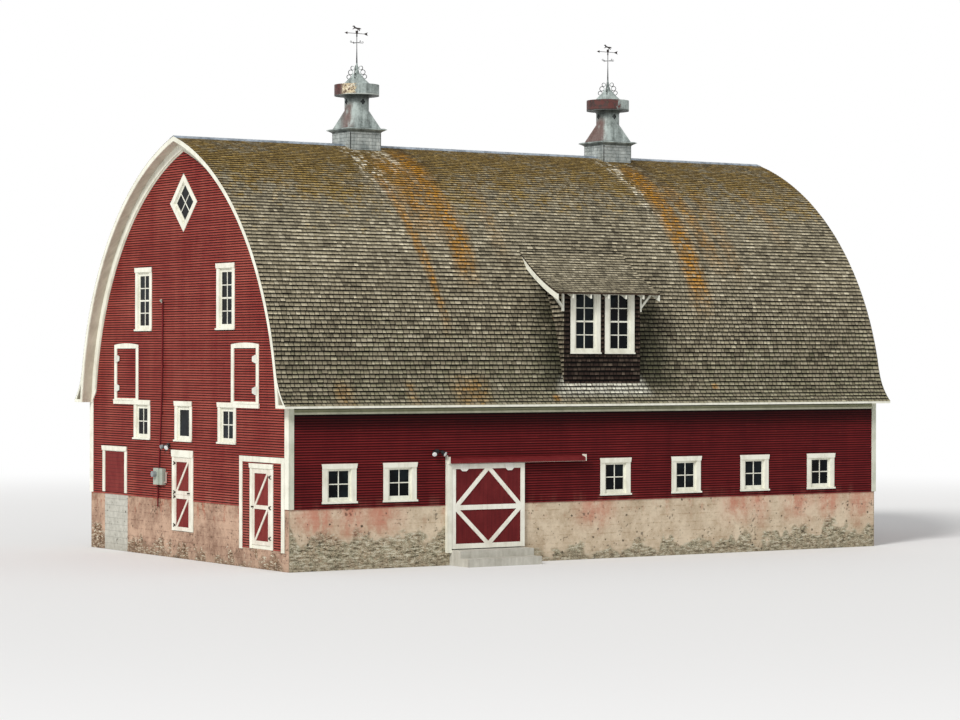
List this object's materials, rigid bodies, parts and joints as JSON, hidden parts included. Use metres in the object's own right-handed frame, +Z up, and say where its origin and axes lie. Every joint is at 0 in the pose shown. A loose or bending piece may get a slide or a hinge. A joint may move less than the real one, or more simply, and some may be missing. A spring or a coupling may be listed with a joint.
{
  "type": "gothic-arch barn",
  "caption": "Red barn with a curved gothic-arch roof, flared eaves, a shed dormer, sheet-metal ventilators with weathervanes, a sliding door and walk doors.",
  "frame": {"origin": "centre of the barn's plan at the lowest ground, on the underside of the floor slab", "axes": "+X along the ridge away from the gable with the walk doors, +Y from the front wall to the back wall, +Z up"},
  "size_m": [21.11, 13.55, 15.527],
  "materials": {
    "concrete": "rough rubble concrete, stained",
    "red_siding": "lapped boards in weathered red paint",
    "white_trim": "weathered white paint",
    "door_boards": "red boards with white rails",
    "timber": "bare boards",
    "shingles": "grey-brown wooden shingles with lichen",
    "dark_shingles": "dark red-brown shingles",
    "galvanised_sheet": "dull galvanised sheet with rust",
    "dark_iron": "dark weathered iron",
    "grey_metal": "grey paint",
    "glass": "dark panes"
  },
  "bodies": {
    "barn": {"foundation_front": "concrete", "foundation_back": "concrete", "foundation_door_gable": "concrete", "foundation_far_gable": "concrete", "door_sills": "concrete", "floor_slab": "concrete", "loft_floor": "timber", "front_wall": "red_siding", "front_wall_over_door": "red_siding", "back_wall": "red_siding", "door_gable_wall_lower": "red_siding", "door_gable_wall_upper": "red_siding", "corner_door_bay": "red_siding", "far_gable_wall": "red_siding", "roof_front": "shingles", "roof_back": "shingles", "ridge_cap": "galvanised_sheet", "rake_boards": "white_trim", "eave_trim": "white_trim", "corner_and_gable_trim": "white_trim", "front_windows": "white_trim", "back_windows": "white_trim", "door_gable_windows": "white_trim", "far_gable_windows": "white_trim", "window_glass": "glass", "dormer_walls": "dark_shingles", "dormer_roof": "shingles", "dormer_windows": "white_trim", "dormer_brackets": "white_trim", "ventilator_bases": "galvanised_sheet", "ventilator_1": "galvanised_sheet", "ventilator_2": "galvanised_sheet", "loft_doors": "door_boards", "blind_door": "door_boards", "middle_door_frame": "white_trim", "corner_door_frame": "white_trim", "sliding_door_track": "red_siding", "door_step": "concrete", "wall_fittings": "grey_metal"},
    "middle_door_upper": {"middle_door_upper_leaf": "door_boards"},
    "middle_door_lower": {"middle_door_lower_leaf": "door_boards"},
    "corner_door": {"corner_door_leaf": "door_boards"},
    "sliding_door": {"sliding_door": "door_boards"},
    "vane_1": {"weathervane_1": "dark_iron"},
    "vane_2": {"weathervane_2": "dark_iron"}
  },
  "joints": [
    {"name": "middle_door_upper_hinge", "type": "hinge", "parent": "barn", "child": "middle_door_upper", "pos_m": [-10.287, 0.5405, 2.3425], "axis": [0, 0, -1], "range_deg": [0, 110]},
    {"name": "middle_door_lower_hinge", "type": "hinge", "parent": "barn", "child": "middle_door_lower", "pos_m": [-10.287, 0.5405, 1.3075], "axis": [0, 0, -1], "range_deg": [0, 110]},
    {"name": "corner_door_hinge", "type": "hinge", "parent": "barn", "child": "corner_door", "pos_m": [-10.287, -5.1075, 1.675], "axis": [0, 0, 1], "range_deg": [0, 110]},
    {"name": "sliding_door_slide", "type": "slide", "parent": "barn", "child": "sliding_door", "axis": [1, 0, 0], "range_m": [0, 2.15]},
    {"name": "vane_1_turn", "type": "hinge", "parent": "barn", "child": "vane_1", "pos_m": [-4.56, 0, 15.29], "axis": [0, 0, 1], "continuous": true},
    {"name": "vane_2_turn", "type": "hinge", "parent": "barn", "child": "vane_2", "pos_m": [4.56, 0, 15.29], "axis": [0, 0, 1], "continuous": true}
  ]
}
